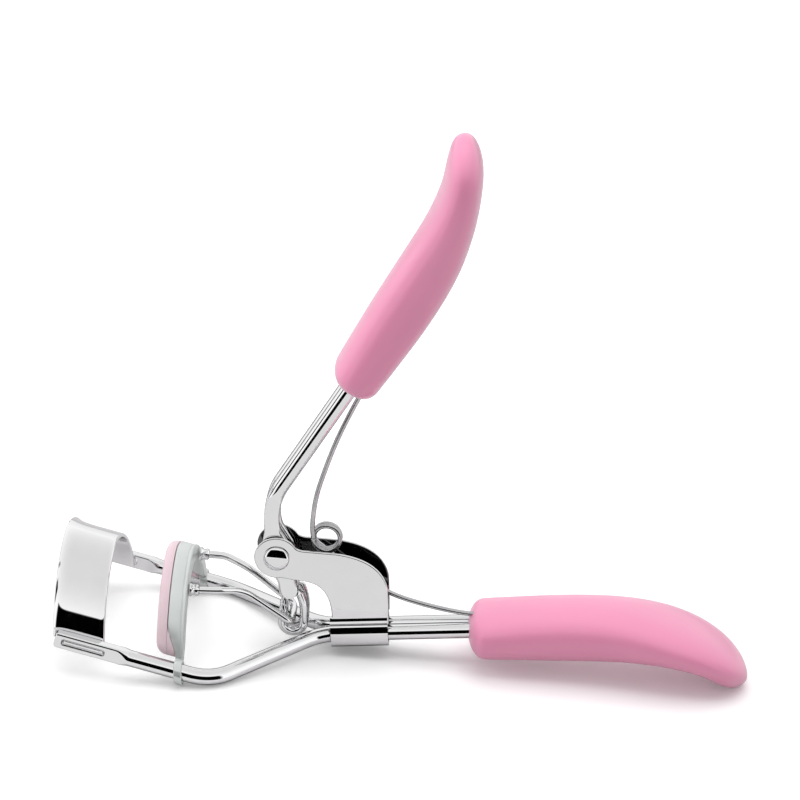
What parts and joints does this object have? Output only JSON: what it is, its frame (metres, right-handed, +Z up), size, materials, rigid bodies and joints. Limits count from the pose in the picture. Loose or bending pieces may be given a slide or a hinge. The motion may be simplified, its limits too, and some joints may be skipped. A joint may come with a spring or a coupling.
{
  "type": "eyelash curler",
  "caption": "Lever-operated lash curler: two curved jaws on a bent wire frame, a soft pad, a coil spring and two curved grips.",
  "frame": {"origin": "on the ground under the middle of the object's box, in the plane that mirrors the near side onto the far side", "axes": "+X from the jaws towards the handles, +Y across the jaws from the near rail to the far one, +Z up"},
  "size_m": [0.1324, 0.0398, 0.1038],
  "materials": {
    "chromed_wire": "bright chrome plating on steel wire",
    "chromed_sheet": "bright chrome plating on pressed sheet",
    "satin_sheet": "chrome plating, slightly satin",
    "spring_wire": "drawn spring wire",
    "pad": "soft pale pink silicone",
    "grip": "satin-gloss pink plastic"
  },
  "bodies": {
    "frame": {"frame_rod_near": "chromed_wire", "frame_rod_far": "chromed_wire", "fixed_jaw_plate": "chromed_sheet", "hinge_bracket": "chromed_sheet", "pivot_rivet": "chromed_wire", "torsion_spring": "spring_wire", "lower_grip": "grip"},
    "lever": {"lever_rod_near": "chromed_wire", "lever_rod_far": "chromed_wire", "upper_grip": "grip", "spring_upper_leg": "spring_wire"},
    "jaw": {"sliding_jaw": "satin_sheet", "silicone_pad": "pad", "fork_socket_near": "satin_sheet", "fork_socket_far": "satin_sheet"},
    "fork": {"push_fork": "chromed_wire"}
  },
  "joints": [
    {"name": "lever_pivot", "type": "hinge", "parent": "frame", "child": "lever", "pos_m": [-0.0261, 0, 0.0201], "axis": [0, 1, 0], "range_deg": [0, 43.5], "stiffness_Nm_per_rad": 0.02, "springref_deg": -59.99, "deforming": ["spring_upper_leg"]},
    {"name": "jaw_slide", "type": "slide", "parent": "frame", "child": "jaw", "axis": [-0.977, 0, 0.213], "range_m": [0, 0.0097]},
    {"name": "fork_swing", "type": "hinge", "parent": "jaw", "child": "fork", "pos_m": [-0.0419, 0, 0.0141], "axis": [0, 1, 0], "range_deg": [0, 4]}
  ],
  "couplings": [
    {"joint": "jaw_slide", "follows": "lever_pivot", "m_per_rad": 0.012499},
    {"joint": "fork_swing", "follows": "lever_pivot", "ratio": 0.08275}
  ]
}
